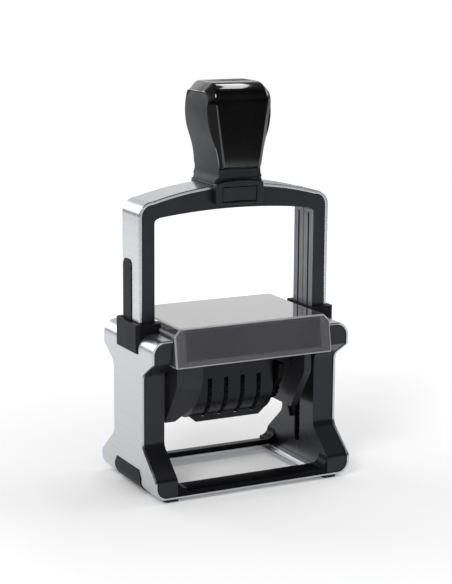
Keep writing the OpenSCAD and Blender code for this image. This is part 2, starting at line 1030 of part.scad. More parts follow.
module lock_button_rear() {
    mirror([0, 1, 0])
        lock_button();
}

// Front outline of the cover with chamfered upper corners
module cover_outline(inset) {
    half = cover_x - inset;
    top = cover_z1 - inset;
    cut = cover_chamfer;
    polygon([
        [-half, cover_z0], [half, cover_z0], [half, top - cut], [half - cut, top],
        [cut - half, top], [-half, top - cut]
    ]);
}

// Side outline of the cover with its leaning front
module cover_side(inset) {
    polygon([
        [cover_y0 + inset, cover_z0], [cover_y1 - inset, cover_z0], [cover_y1 - inset, cover_z1 - inset],
        [cover_y0 + cover_lean + inset, cover_z1 - inset]
    ]);
}

module pad_cover() {
    color("lightgray", 0.5)
        difference() {
            intersection() {
                front_extrude(-far, far)
                    cover_outline(0);
                side_extrude(-far, far)
                    cover_side(0);
            }
            translate([0, 0, -eps])
                intersection() {
                    front_extrude(-far, far)
                        cover_outline(cover_t);
                    side_extrude(-far, far)
                        cover_side(cover_t);
                }
            translate([cover_t - cover_x, 0, 0])
                cube([2 * (cover_x - cover_t), far, rear_sill]);
        }
}

module pad_tray() {
    inner_x = tray_x - tray_t;
    color("dimgray")
        difference() {
            intersection() {
                translate([-tray_x, tray_y0, cover_z0 + 1])
                    cube([2 * tray_x, tray_y1 - tray_y0, tray_z1 - cover_z0 - 1]);
                front_extrude(-far, far)
                    cover_outline(cover_t + seat_gap);
            }
            translate([-inner_x, tray_y0 + tray_t, 0])
                cube([2 * inner_x, tray_y1 - tray_y0 - 2 * tray_t, pad_z + pad_t]);
            translate([-inner_x, 0, 0])
                cube([2 * inner_x, far, rear_sill]);
        }
}

module ink_pad() {
    color("midnightblue")
        translate([-rotor_x, -die_y - 1, pad_z])
            cube([2 * rotor_x, 2 * (die_y + 1), pad_t]);
}

// Flange under the printing plate, with a narrower block round the bay of the date wheels
module rotor_body() {
    edge = 1.6;
    color("dimgray")
        on_rotor()
            difference() {
                union() {
                    translate([-rotor_x, -rotor_y, flange_z])
                        cube([2 * rotor_x, rotor_d, flange_t]);
                    translate([-rotor_x, -block_y, -rotor_drop])
                        cube([2 * rotor_x, block_y + rotor_y, rotor_drop + flange_z + eps]);
                }
                translate([-bay_x, bay_y0, -far])
                    cube([2 * bay_x, bay_y1 - bay_y0, 2 * far]);
                rotate([0, 90, 0])
                    cylinder(h = far, r = axle_r + pin_gap, center = true);
                for (y = [-block_y, rotor_y])
                    translate([0, y, -rotor_drop])
                        rotate([45, 0, 0])
                            cube([far, edge, edge], center = true);
            }
}

// End plate of the rotor with its disc, drawn on the right, hanging down and leaning back
module arm_plate() {
    low = -rotor_drop - arm_h;
    heel_d = 2;
    heel_h = 4.4;
    difference() {
        union() {
            side_extrude(rotor_x, arm_out)
                polygon([
                    [-rotor_y, -rotor_drop], [-rotor_y, flange_z],
                    [arm_d - rotor_y, flange_z], [arm_d - rotor_y, -rotor_drop],
                    [arm_d + arm_lean - rotor_y - heel_d, low + heel_h],
                    [arm_d + arm_lean - rotor_y, low], [arm_lean - rotor_y, low]
                ]);
            translate([rotor_x, 0, 0])
                rotate([0, 90, 0])
                    cylinder(h = arm_out - rotor_x, r = disc_r);
        }
        rotate([0, 90, 0])
            cylinder(h = far, r = axle_r + pin_gap);
        translate([0, 0, -cam_arm])
            rotate([0, 90, 0])
                cylinder(h = far, r = cam_pin_r + pin_gap);
    }
}

// Curved cheek from the flange down the front edge of an end plate, its inner corner cut off
module arm_cheek() {
    low = -rotor_drop - arm_h;
    toe = 5;
    top = [-rotor_y, flange_z];
    bend = [-rotor_y, -rotor_drop];
    foot = [arm_lean - rotor_y, low];
    front = concat([top], corner_arc(top, bend, foot, cheek_r), [foot]);
    intersection() {
        side_extrude(arm_in, arm_out)
            polygon(concat(front, [for (i = [len(front) - 1 : -1 : 0]) front[i] + [cheek_t, 0]]));
        front_extrude(-far, far)
            polygon([
                [arm_in, flange_z], [arm_out, flange_z], [arm_out, low],
                [arm_out - toe, low], [arm_in, low + arm_w - toe]
            ]);
    }
}

module rotor_arm_left() {
    color("dimgray")
        on_rotor()
            left() {
                arm_plate();
                arm_cheek();
            }
}

module rotor_arm_right() {
    color("dimgray")
        on_rotor()
            arm_plate();
}

// Side outline of the guard: round over the wheels, open towards the rotor
module guard_outline(r) {
    translate([guard_y, guard_z])
        circle(r);
    span(guard_y - r, guard_z, guard_y + r, -rotor_drop);
}

// Widths through which the rims of the date wheels pass
module rim_slots() {
    for (i = [1 : wheel_count])
        side_extrude(wheel_x(i) - rim_w / 2 - run_gap, wheel_x(i) + rim_w / 2 + run_gap)
            children();
}

module dater_guard() {
    lip_d = 2;
    lip_h = 3.4;
    lip_drop = 1.4;
    lip_back = 7;
    lip_cut = 4;
    skin = 0.5;
    boss_t = 4.4;
    boss_r = 7.2;
    front_y = guard_y - guard_r;
    lip_y = guard_y - lip_back;
    lip_z = guard_z - guard_r - lip_drop;
    color("dimgray")
        on_rotor()
            difference() {
                union() {
                    difference() {
                        union() {
                            intersection() {
                                side_extrude(-guard_x, guard_x)
                                    guard_outline(guard_r);
                                translate([-far, -far, -far])
                                    cube([2 * far, 2 * far, far - rotor_drop]);
                            }
                            side_extrude(-guard_x, guard_x) {
                                span(front_y, guard_z, front_y + guard_t, flange_z);
                                span(front_y - guard_tab_d, flange_z - guard_tab_t,
                                    front_y + guard_t, flange_z);
                            }
                        }
                        side_extrude(guard_t - guard_x, guard_x - guard_t)
                            guard_outline(guard_r - guard_t);
                        translate([-far, guard_y, guard_z])
                            cube([2 * far, far, far]);
                        rim_slots()
                            difference() {
                                union() {
                                    span(-far, -far, far, -rotor_drop - guard_tab_t);
                                    span(front_y + skin, -far, far, 0);
                                }
                                translate([guard_y, guard_z])
                                    circle(guard_r - 2 * guard_t);
                            }
                    }
                    difference() {
                        front_extrude(lip_y, lip_y + lip_d)
                            polygon([
                                [-guard_x, lip_z + lip_h], [guard_x, lip_z + lip_h],
                                [guard_x - lip_cut, lip_z], [lip_cut - guard_x, lip_z]
                            ]);
                        rim_slots()
                            translate([guard_y, guard_z])
                                circle(wheel_r + run_gap);
                    }
                    both()
                        translate([guard_x - guard_t / 2, guard_y, guard_z])
                            rotate([0, 90, 0])
                                cylinder(h = boss_t + guard_t / 2, r = boss_r);
                }
                translate([0, guard_y, guard_z])
                    rotate([0, 90, 0])
                        cylinder(h = far, r = rod_r + pin_gap, center = true);
            }
}

// Window in the printing plate over the date bands
module band_window(grow) {
    y = nose_r + band_t + block_h + grow;
    span(bands_x0 - grow, -y, bands_x1 + grow, y);
}

module die_plate() {
    color("gray")
        on_rotor()
            translate([0, 0, body_z1])
                linear_extrude(die_t)
                    difference() {
                        span(-die_x, -die_y, die_x, die_y);
                        band_window(0.5);
                    }
}

// Rubber sheet with a plain border and blank bars in raised print
module text_plate() {
    border = 1.2;
    bar_t = 2.2;
    bar_gap = 2;
    bar_end = 5;
    bar_step = 4;
    color("firebrick")
        on_rotor()
            translate([0, 0, body_z1 + die_t]) {
                linear_extrude(sheet_t)
                    difference() {
                        span(-die_x, -die_y, die_x, die_y);
                        band_window(0.5);
                    }
                translate([0, 0, sheet_t])
                    linear_extrude(relief_h) {
                        difference() {
                            span(-text_x, -text_y, text_x, text_y);
                            span(border - text_x, border - text_y, text_x - border, text_y - border);
                        }
                        for (s = [-1, 1], i = [0 : 2]) {
                            bar_y = text_y - border - bar_gap - bar_t / 2 - i * (bar_t + bar_gap);
                            translate([0, s * bar_y])
                                square([text_w - 2 * bar_end - 2 * bar_step * i, bar_t], center = true);
                        }
                    }
            }
}

module band_nose() {
    web = 1.2;
    color("gray")
        on_rotor() {
            side_extrude(bands_x0, bands_x1) {
                translate([0, nose_z])
                    circle(nose_r);
                span(-web, 0, web, nose_z);
            }
            side_extrude(seat_gap - bay_x, bay_x - seat_gap)
                span(-web, 0, web, body_z1 - seat_gap);
        }
}

// Loop round the nose and a drum, as two circles and their tangents
module band_loop(a_r, b_r) {
    tilt = asin((b_r - a_r) / band_run);
    translate([guard_y, guard_z])
        rotate(band_turn) {
            circle(b_r);
            translate([0, band_run])
                circle(a_r);
            polygon([
                b_r * [cos(tilt), sin(tilt)], a_r * [cos(tilt), sin(tilt)] + [0, band_run],
                a_r * [-cos(tilt), sin(tilt)] + [0, band_run], b_r * [-cos(tilt), sin(tilt)]
            ]);
        }
}

module date_band(i) {
    x0 = wheel_x(i) + rim_w / 2 + (drum_w - band_w) / 2;
    in_b = drum_r + run_gap;
    in_a = nose_r + eps;
    block_in = 0.6;
    block_d = 2.6;
    block_step = 4.4;
    first_block = 1.5;
    tilt = asin((in_b - in_a) / band_run);
    color("black")
        on_rotor() {
            side_extrude(x0, x0 + band_w)
                difference() {
                    band_loop(in_a + band_t, in_b + band_t);
                    band_loop(in_a, in_b);
                }
            side_extrude(x0 + block_in, x0 + band_w - block_in) {
                translate([0, nose_z])
                    span(-block_d / 2, in_a + band_t / 2, block_d / 2, in_a + band_t + block_h - eps);
                translate([guard_y, guard_z])
                    rotate(band_turn)
                        for (m = [0, 1], step = [0 : 3])
                            mirror([m, 0])
                                rotate(tilt)
                                    translate([in_b + band_t / 2, first_block + block_step * step])
                                        square([band_t / 2 + block_h, block_d]);
            }
        }
}

module wheel_rod() {
    color("silver")
        on_rotor()
            translate([0, guard_y, guard_z])
                rotate([0, 90, 0])
                    cylinder(h = 2 * guard_x, r = rod_r, center = true);
}

// Knurled rim and drum in one piece, turning on the rod
module date_wheel(i) {
    teeth = 24;
    notch_r = 0.8;
    color("gray")
        on_rotor()
            translate([wheel_x(i), guard_y, guard_z])
                difference() {
                    union() {
                        side_extrude(-rim_w / 2, rim_w / 2)
                            difference() {
                                circle(wheel_r);
                                for (k = [1 : teeth])
                                    rotate(360 * k / teeth)
                                        translate([wheel_r + notch_r * 0.3, 0])
                                            circle(notch_r);
                            }
                        side_extrude(0, rim_w / 2 + drum_w - run_gap)
                            circle(drum_r);
                    }
                    rotate([0, 90, 0])
                        cylinder(h = far, r = rod_r + pin_gap, center = true);
                }
}

module axle_pin() {
    x0 = bay_x + 2;
    x1 = leg_in + bush_t - seat_gap;
    color("silver")
        on_rotor()
            translate([x0, 0, 0])
                rotate([0, 90, 0])
                    cylinder(h = x1 - x0, r = axle_r);
}

module cam_pin() {
    x0 = rotor_x + run_gap;
    x1 = wall_in - cam_bed - run_gap;
    color("silver")
        on_rotor()
            translate([x0, 0, -cam_arm])
                rotate([0, 90, 0])
                    cylinder(h = x1 - x0, r = cam_pin_r);
}

outer_shell();
left() frame_wall();  // frame_wall_left
frame_wall();  // frame_wall_right
left() cam_track();  // cam_track_left
cam_track();  // cam_track_right
front_bar();
rear_bar();
left() collar();  // collar_left
collar();  // collar_right
left() side_foot();  // side_foot_left
side_foot();  // side_foot_right
window_rim();
rubber_feet();
base_screws();
left() return_spring();  // return_spring_left
return_spring();  // return_spring_right
bow_skin();
bow_frame_front();
bow_frame_rear();
left() leg_strip();  // leg_strip_left
leg_strip();  // leg_strip_right
left() axle_bush();  // axle_bush_left
axle_bush();  // axle_bush_right
saddle();
knob_grip();
knob_wrap();
lock_button_front();
lock_button_rear();
pad_cover();
pad_tray();
ink_pad();
rotor_body();
rotor_arm_left();
rotor_arm_right();
dater_guard();
die_plate();
text_plate();
band_nose();
date_band(1);  // date_band_1
date_band(2);  // date_band_2
date_band(3);  // date_band_3
date_band(4);  // date_band_4
wheel_rod();
left() axle_pin();  // axle_pin_left
axle_pin();  // axle_pin_right
left() cam_pin();  // cam_pin_left
cam_pin();  // cam_pin_right
date_wheel(1);  // date_wheel_1
date_wheel(2);  // date_wheel_2
date_wheel(3);  // date_wheel_3
date_wheel(4);  // date_wheel_4
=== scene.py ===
"""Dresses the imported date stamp: edge detail, springs, ink pad, knob, materials, camera and studio."""
import json
import math

import bmesh
import bpy
from mathutils import Matrix, Vector, noise


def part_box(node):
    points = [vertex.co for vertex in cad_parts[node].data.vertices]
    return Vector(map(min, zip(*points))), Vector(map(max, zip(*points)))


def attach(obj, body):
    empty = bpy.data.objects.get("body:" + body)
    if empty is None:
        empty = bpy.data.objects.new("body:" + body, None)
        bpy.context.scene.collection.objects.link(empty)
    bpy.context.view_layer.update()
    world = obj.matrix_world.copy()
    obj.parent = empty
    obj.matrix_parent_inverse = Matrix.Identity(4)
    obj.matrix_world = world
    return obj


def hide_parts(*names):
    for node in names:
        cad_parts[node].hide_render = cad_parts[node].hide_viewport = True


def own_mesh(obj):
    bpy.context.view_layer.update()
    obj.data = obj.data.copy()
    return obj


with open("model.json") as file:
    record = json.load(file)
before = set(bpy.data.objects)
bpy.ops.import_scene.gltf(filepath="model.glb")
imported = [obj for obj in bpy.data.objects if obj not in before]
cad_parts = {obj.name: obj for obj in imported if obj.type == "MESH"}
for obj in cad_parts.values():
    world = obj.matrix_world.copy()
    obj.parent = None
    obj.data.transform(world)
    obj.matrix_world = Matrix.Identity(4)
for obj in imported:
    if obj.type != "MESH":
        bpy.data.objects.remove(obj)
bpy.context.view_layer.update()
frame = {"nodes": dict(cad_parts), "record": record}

MM = 0.001

BEHAVIOUR = frame["record"]["behaviour"]
BODY_OF = {node: body for body, nodes in BEHAVIOUR["bodies"].items() for node in nodes}

# Angles in degrees past which an edge is shaded sharp, and past which it is rounded off
SHARP_ANGLE = 32
EDGE_ANGLE = 34


class Nodes:
    """A node tree, with the few building steps that the materials and the studio share."""

    # Values between which most of a noise texture lies
    USUAL = (0.3, 0.7)
    # Places of the colour sockets on a mix node
    FIRST, SECOND, MIXED = 6, 7, 2

    def __init__(self, tree):
        self.tree = tree

    def add(self, kind, **settings):
        node = self.tree.nodes.new(kind)
        for key, value in settings.items():
            setattr(node, key, value)
        return node

    def link(self, source, target):
        self.tree.links.new(source, target)

    def spread(self, value, low, high, source=USUAL):
        """Maps a value from its usual spread to the range from low to high."""
        node = self.add("ShaderNodeMapRange")
        node.inputs["From Min"].default_value = source[0]
        node.inputs["From Max"].default_value = source[1]
        node.inputs["To Min"].default_value = low
        node.inputs["To Max"].default_value = high
        self.link(value, node.inputs["Value"])
        return node.outputs["Result"]

    def mix(self, share, first, second):
        """Colour between two colours or colour outputs."""
        node = self.add("ShaderNodeMix", data_type="RGBA")
        self.link(share, node.inputs["Factor"])
        for place, colour in ((self.FIRST, first), (self.SECOND, second)):
            if isinstance(colour, tuple):
                node.inputs[place].default_value = colour + (1.0,)
            else:
                self.link(colour, node.inputs[place])
        return node.outputs[self.MIXED]

    def join(self, operation, first, second, clamp=False):
        """Arithmetic on two value outputs."""
        node = self.add("ShaderNodeMath", operation=operation, use_clamp=clamp)
        self.link(first, node.inputs[0])
        self.link(second, node.inputs[1])
        return node.outputs["Value"]

    def ramp(self, value, stops):
        """Grey level that runs through stops of value and level."""
        node = self.add("ShaderNodeValToRGB")
        elements = node.color_ramp.elements
        while len(elements) < len(stops):
            elements.new(0.5)
        for element, (position, level) in zip(elements, stops):
            element.position = position
            element.color = (level, level, level, 1)
        self.link(value, node.inputs["Fac"])
        return node.outputs["Color"]

    def parts(self, vector):
        """Outputs X, Y and Z of a vector output."""
        node = self.add("ShaderNodeSeparateXYZ")
        self.link(vector, node.inputs["Vector"])
        return node.outputs

    def seen(self):
        """One for rays from the camera and for rays that a mirror or a clear piece passes on."""
        path = self.add("ShaderNodeLightPath")
        passed = self.join("ADD", path.outputs["Is Glossy Ray"], path.outputs["Is Transmission Ray"], True)
        return self.join("ADD", path.outputs["Is Camera Ray"], passed, True)


class Finish(Nodes):
    """One material's node tree round its surface shader."""

    def __init__(self, name, **sockets):
        self.material = bpy.data.materials.new(name)
        self.material.use_nodes = True
        super().__init__(self.material.node_tree)
        self.shader = self.tree.nodes["Principled BSDF"]
        for socket, value in sockets.items():
            self.shader.inputs[socket.replace("_", " ")].default_value = value
        self.place = self.add("ShaderNodeTexCoord").outputs["Object"]

    def noise(self, per_metre, detail, roughness, stretch=(1, 1, 1)):
        """Noise of a given count per metre, stretched along axes where the factor is below one."""
        scale = self.add("ShaderNodeMapping")
        scale.inputs["Scale"].default_value = stretch
        self.link(self.place, scale.inputs["Vector"])
        texture = self.add("ShaderNodeTexNoise")
        texture.inputs["Scale"].default_value = per_metre
        texture.inputs["Detail"].default_value = detail
        texture.inputs["Roughness"].default_value = roughness
        self.link(scale.outputs["Vector"], texture.inputs["Vector"])
        return texture.outputs["Fac"]

    def edges(self, radius, strength):
        """Share of edge colour, partly rubbing and partly a painted highlight: highest where a rounded
        normal leaves the flat one, and slightly uneven.
        """
        # Likeness of the two normals on an edge and on a flat face
        on_edge, on_flat = 0.75, 0.99
        bevel = self.add("ShaderNodeBevel", samples=6)
        bevel.inputs["Radius"].default_value = radius
        flat = self.add("ShaderNodeNewGeometry").outputs["Normal"]
        dot = self.add("ShaderNodeVectorMath", operation="DOT_PRODUCT")
        self.link(bevel.outputs["Normal"], dot.inputs[0])
        self.link(flat, dot.inputs[1])
        edge = self.spread(dot.outputs["Value"], strength, 0.0, source=(on_edge, on_flat))
        patches = self.noise(per_metre=160, detail=3.0, roughness=0.5)
        return self.join("MULTIPLY", edge, self.spread(patches, low=0.6, high=1.0))

    def bump(self, height, strength, distance):
        node = self.add("ShaderNodeBump")
        node.inputs["Strength"].default_value = strength
        node.inputs["Distance"].default_value = distance
        self.link(height, node.inputs["Height"])
        self.link(node.outputs["Normal"], self.shader.inputs["Normal"])

    def colour(self, output):
        self.link(output, self.shader.inputs["Base Color"])

    def rough(self, output):
        self.link(output, self.shader.inputs["Roughness"])


# Tint of the gloss on moulded plastic
COOL = (0.88, 0.92, 1.0, 1.0)


def moulded(name, dark, light, rubbed_and_lit_edge, roughness, grain, edge_wear_and_highlight=0.5, per_metre=2600, **sockets):
    """Moulded plastic: cloudy tone, fine spark grain, patchy gloss and lighter edges, partly rubbed and
    partly a painted highlight.
    """
    finish = Finish(name, Specular_Tint=COOL, **sockets)
    clouds = finish.noise(per_metre=95, detail=5.0, roughness=0.6)
    tone = finish.mix(finish.spread(clouds, 0.0, 1.0), dark, light)
    # Lighter edges: partly rubbed, partly a painted highlight
    finish.colour(finish.mix(finish.edges(radius=0.45 * MM, strength=edge_wear_and_highlight), tone, rubbed_and_lit_edge))
    patches = finish.noise(per_metre=140, detail=6.0, roughness=0.62)
    finish.rough(finish.spread(patches, *roughness))
    sparks = finish.noise(per_metre, detail=3.0, roughness=0.5)
    finish.bump(sparks, strength=grain, distance=0.06 * MM)
    return finish.material


def brushed(name, dark, light, roughness, stretch):
    """Satin metal brushed along one axis: fine streaks in tone and gloss over a faint waviness."""
    fine_share, broad_share = 0.65, 0.35
    finish = Finish(name, Metallic=1.0)
    fine = finish.noise(per_metre=1100, detail=0.0, roughness=0.5, stretch=stretch)
    broad = finish.noise(per_metre=320, detail=1.0, roughness=0.5, stretch=stretch)
    fine_streaks = finish.spread(fine, 0.0, fine_share)
    broad_streaks = finish.spread(broad, 0.0, broad_share)
    finish.colour(finish.mix(finish.join("ADD", fine_streaks, broad_streaks), dark, light))
    finish.rough(finish.spread(broad, *roughness))
    waves = finish.noise(per_metre=35, detail=1.0, roughness=0.3)
    finish.bump(waves, strength=0.02, distance=0.02 * MM)
    return finish.material


def polished(name, dark, light, roughness, **sockets):
    """Polished plastic: deep tone, faint moulding ripple and hairline scratches in the gloss."""
    finish = Finish(name, **sockets)
    clouds = finish.noise(per_metre=60, detail=3.0, roughness=0.5)
    finish.colour(finish.mix(finish.spread(clouds, 0.0, 1.0), dark, light))
    hairs = finish.noise(per_metre=900, detail=8.0, roughness=0.75, stretch=(1, 0.12, 0.35))
    finish.rough(finish.spread(hairs, *roughness, source=(0.35, 0.75)))
    ripple = finish.noise(per_metre=160, detail=2.0, roughness=0.4)
    finish.bump(ripple, strength=0.05, distance=0.05 * MM)
    return finish.material


def rubbery(name, dark, light, rubbed_and_lit_edge, grain):
    """Soft matt rubber: dusty tone, coarse skin and paler corners, partly rubbed and partly a painted
    highlight.
    """
    finish = Finish(name, Specular_IOR_Level=0.3)
    dust = finish.noise(per_metre=210, detail=6.0, roughness=0.7)
    tone = finish.mix(finish.spread(dust, 0.0, 1.0), dark, light)
    # Paler corners: partly rubbed, partly a painted highlight
    finish.colour(finish.mix(finish.edges(radius=0.4 * MM, strength=0.7), tone, rubbed_and_lit_edge))
    patches = finish.noise(per_metre=330, detail=4.0, roughness=0.6)
    finish.rough(finish.spread(patches, low=0.62, high=0.86))
    skin = finish.noise(per_metre=3400, detail=4.0, roughness=0.65)
    finish.bump(skin, strength=grain, distance=0.08 * MM)
    return finish.material


def felted(name, dark, light):
    """Inked felt: matted fibres with wetter, darker patches."""
    finish = Finish(name, Sheen_Weight=0.35, Sheen_Roughness=0.5)
    patches = finish.noise(per_metre=120, detail=6.0, roughness=0.7)
    wet = finish.spread(patches, 0.0, 1.0)
    finish.colour(finish.mix(wet, dark, light))
    finish.rough(finish.spread(wet, low=0.55, high=0.95, source=(0.0, 1.0)))
    fibres = finish.noise(per_metre=2400, detail=8.0, roughness=0.8, stretch=(1, 0.35, 1))
    finish.bump(fibres, strength=0.7, distance=0.15 * MM)
    return finish.material


def painted_see_through_border(finish, node):
    """One on the sides and the foot of a node's front, where no tray lies behind it; there a paler colour
    is painted for light that would show through.
    """
    side_margin, foot_margin, soft = 5.0 * MM, 2.6 * MM, 0.6 * MM
    # Range of the normal's y over which a face stops being the front
    front_facing = (-0.8, -0.5)
    low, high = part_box(node)
    right_from = high.x - side_margin
    left_to = low.x + side_margin
    foot_to = low.z + foot_margin
    spot = finish.parts(finish.place)
    right = finish.spread(spot["X"], 0.0, 1.0, source=(right_from - soft, right_from))
    left = finish.spread(spot["X"], 1.0, 0.0, source=(left_to, left_to + soft))
    foot = finish.spread(spot["Z"], 1.0, 0.0, source=(foot_to, foot_to + soft))
    facing = finish.parts(finish.add("ShaderNodeNewGeometry").outputs["Normal"])
    front = finish.spread(facing["Y"], 1.0, 0.0, source=front_facing)
    rim = finish.join("MAXIMUM", finish.join("ADD", right, left, True), foot)
    return finish.join("MULTIPLY", rim, front)


def smoked(name, node, dark, light, border, edge, roughness, **sockets):
    """Smoked plastic: partly clear and glossy, with a painted highlight on its edges and a paler border
    painted on its front for light that shows through.
    """
    finish = Finish(name, IOR=1.49, **sockets)
    clouds = finish.noise(per_metre=45, detail=3.0, roughness=0.5)
    tone = finish.mix(finish.spread(clouds, 0.0, 1.0), dark, light)
    # Paler border: painted light showing through where no tray is behind
    tone = finish.mix(painted_see_through_border(finish, node), tone, border)
    # Edges near white: a painted highlight
    finish.colour(finish.mix(finish.edges(radius=0.6 * MM, strength=1.0), tone, edge))
    patches = finish.noise(per_metre=90, detail=4.0, roughness=0.6)
    finish.rough(finish.spread(patches, *roughness))
    waves = finish.noise(per_metre=70, detail=2.0, roughness=0.4)
    finish.bump(waves, strength=0.02, distance=0.05 * MM)
    return finish.material


# Stretch of the brushing along an axis
ALONG_X = (0.012, 1, 1)
ALONG_Y = (1, 0.012, 1)

FINISHES = {
    "shell": brushed(
        "shell_satin", dark=(0.545, 0.56, 0.585), light=(0.59, 0.605, 0.63),
        roughness=(0.31, 0.35), stretch=ALONG_Y,
    ),
    "bow": brushed(
        "bow_satin", dark=(0.545, 0.56, 0.585), light=(0.59, 0.605, 0.63),
        roughness=(0.25, 0.29), stretch=ALONG_Y,
    ),
    "steel": brushed(
        "turned_steel", dark=(0.50, 0.50, 0.51), light=(0.60, 0.60, 0.61),
        roughness=(0.18, 0.28), stretch=ALONG_X,
    ),
    "rim": brushed(
        "rim_satin", dark=(0.58, 0.59, 0.61), light=(0.66, 0.67, 0.69),
        roughness=(0.30, 0.36), stretch=ALONG_X,
    ),
    "black": moulded(
        "black_moulding", dark=(0.009, 0.009, 0.0105), light=(0.013, 0.0135, 0.0155),
        rubbed_and_lit_edge=(0.05, 0.05, 0.055), roughness=(0.30, 0.40), grain=0.08, Specular_IOR_Level=0.4,
    ),
    "trim": moulded(
        "black_trim", dark=(0.007, 0.007, 0.0085), light=(0.010, 0.010, 0.012),
        rubbed_and_lit_edge=(0.05, 0.05, 0.055), roughness=(0.40, 0.46), grain=0.05, Specular_IOR_Level=0.10,
    ),
    # Darker copy of the black moulding: painted shade on the frame walls
    "wall": moulded(
        "black_wall_shaded", dark=(0.006, 0.006, 0.007), light=(0.009, 0.009, 0.0105),
        rubbed_and_lit_edge=(0.05, 0.05, 0.055), roughness=(0.27, 0.31), grain=0.03, Specular_IOR_Level=0.4,
    ),
    # Darkest copy of the black moulding: painted shade on the bars, the tray and the rod brackets
    "bar": moulded(
        "black_bar_shaded", dark=(0.0025, 0.0025, 0.003), light=(0.004, 0.004, 0.0045),
        rubbed_and_lit_edge=(0.02, 0.02, 0.022), roughness=(0.34, 0.40), grain=0.02, Specular_IOR_Level=0.08,
    ),
    # Paler grey for the inner sides of the legs: painted reflection on black plastic
    "leg": moulded(
        "leg_inside_painted_reflection", dark=(0.160, 0.162, 0.175), light=(0.185, 0.187, 0.200),
        rubbed_and_lit_edge=(0.23, 0.23, 0.245), roughness=(0.30, 0.38), grain=0.06,
    ),
    "rotor": moulded(
        "rotor_moulding", dark=(0.022, 0.022, 0.025), light=(0.030, 0.030, 0.034),
        rubbed_and_lit_edge=(0.06, 0.06, 0.065), roughness=(0.30, 0.38), grain=0.08, Specular_IOR_Level=0.3,
    ),
    # Darker than the other black mouldings: painted shade inside the stamp
    "guard": moulded(
        "guard_moulding_shaded", dark=(0.005, 0.005, 0.006), light=(0.008, 0.008, 0.0095),
        rubbed_and_lit_edge=(0.05, 0.05, 0.055), roughness=(0.26, 0.34), grain=0.08, Specular_IOR_Level=0.25,
    ),
    "grip": moulded(
        "grip_soft", dark=(0.014, 0.015, 0.017), light=(0.020, 0.021, 0.024),
        rubbed_and_lit_edge=(0.05, 0.05, 0.054), roughness=(0.44, 0.54), grain=0.20, edge_wear_and_highlight=0.4, per_metre=3600,
        Specular_IOR_Level=0.35,
    ),
    "gloss": polished(
        "gloss_black", dark=(0.002, 0.002, 0.0025), light=(0.004, 0.004, 0.0045),
        roughness=(0.05, 0.08), Coat_Weight=0.6, Coat_Roughness=0.05,
    ),
    "gloss_side": polished(
        "gloss_black_side", dark=(0.002, 0.002, 0.0025), light=(0.004, 0.004, 0.0045),
        roughness=(0.10, 0.16), Specular_IOR_Level=0.12,
    ),
    "foot": rubbery(
        "foot_rubber", dark=(0.010, 0.010, 0.010), light=(0.024, 0.024, 0.024),
        rubbed_and_lit_edge=(0.06, 0.06, 0.06), grain=0.5,
    ),
    "print": rubbery(
        "print_rubber", dark=(0.26, 0.030, 0.026), light=(0.36, 0.050, 0.042),
        rubbed_and_lit_edge=(0.46, 0.09, 0.08), grain=0.35,
    ),
    "band": rubbery(
        "band_rubber", dark=(0.014, 0.014, 0.015), light=(0.030, 0.030, 0.032),
        rubbed_and_lit_edge=(0.08, 0.08, 0.08), grain=0.4,
    ),
    "nylon": moulded(
        "bush_nylon", dark=(0.58, 0.57, 0.53), light=(0.68, 0.67, 0.63),
        rubbed_and_lit_edge=(0.78, 0.77, 0.74), roughness=(0.34, 0.50), grain=0.12,
    ),
    "die": moulded(
        "die_plastic", dark=(0.030, 0.030, 0.033), light=(0.046, 0.046, 0.05),
        rubbed_and_lit_edge=(0.12, 0.12, 0.125), roughness=(0.38, 0.55), grain=0.2,
    ),
    # Darker, with little gloss, so the guard's slots look dark: painted shade; the setting wheels share it
    "wheel": moulded(
        "wheel_plastic", dark=(0.003, 0.003, 0.0035), light=(0.005, 0.005, 0.006),
        rubbed_and_lit_edge=(0.009, 0.009, 0.010), roughness=(0.55, 0.68), grain=0.12, Specular_IOR_Level=0.08,
    ),
    "smoke": smoked(
        "smoked_clear", "pad_cover", dark=(0.22, 0.215, 0.24), light=(0.26, 0.255, 0.28),
        border=(0.40, 0.395, 0.42), edge=(0.85, 0.85, 0.87), roughness=(0.03, 0.05),
        Transmission_Weight=0.72, Coat_Weight=1.0, Coat_Roughness=0.04,
    ),
    # Paler finish for the cover's rounded edges: a painted highlight
    "smoke_edge_highlight": polished(
        "smoked_edge_painted_highlight", dark=(0.31, 0.31, 0.335), light=(0.38, 0.38, 0.405),
        roughness=(0.08, 0.14), Coat_Weight=0.5, Coat_Roughness=0.06,
    ),
    "felt": felted("inked_felt", dark=(0.006, 0.008, 0.030), light=(0.016, 0.022, 0.075)),
}


def both(name):
    """Names of the left and right piece of a pair."""
    return (name + "_left", name + "_right")


def added(name, data):
    """New object in the scene."""
    made = bpy.data.objects.new(name, data)
    bpy.context.scene.collection.objects.link(made)
    return made


def shape_of(form):
    """Points and faces of a mesh under construction, which is freed."""
    form.verts.index_update()
    points = [tuple(vert.co) for vert in form.verts]
    faces = [[vert.index for vert in face.verts] for face in form.faces]
    form.free()
    return points, faces


def merged(source):
    """Shape of a CAD mesh with its seams joined and its flat faces made whole."""
    weld, flat = 0.002 * MM, math.radians(0.6)
    form = bmesh.new()
    form.from_mesh(source.data)
    bmesh.ops.remove_doubles(form, verts=form.verts, dist=weld)
    bmesh.ops.dissolve_degenerate(form, edges=form.edges, dist=weld)
    bmesh.ops.dissolve_limit(
        form, angle_limit=flat, use_dissolve_boundaries=False,
        verts=form.verts, edges=form.edges, delimit=set(),
    )
    return shape_of(form)


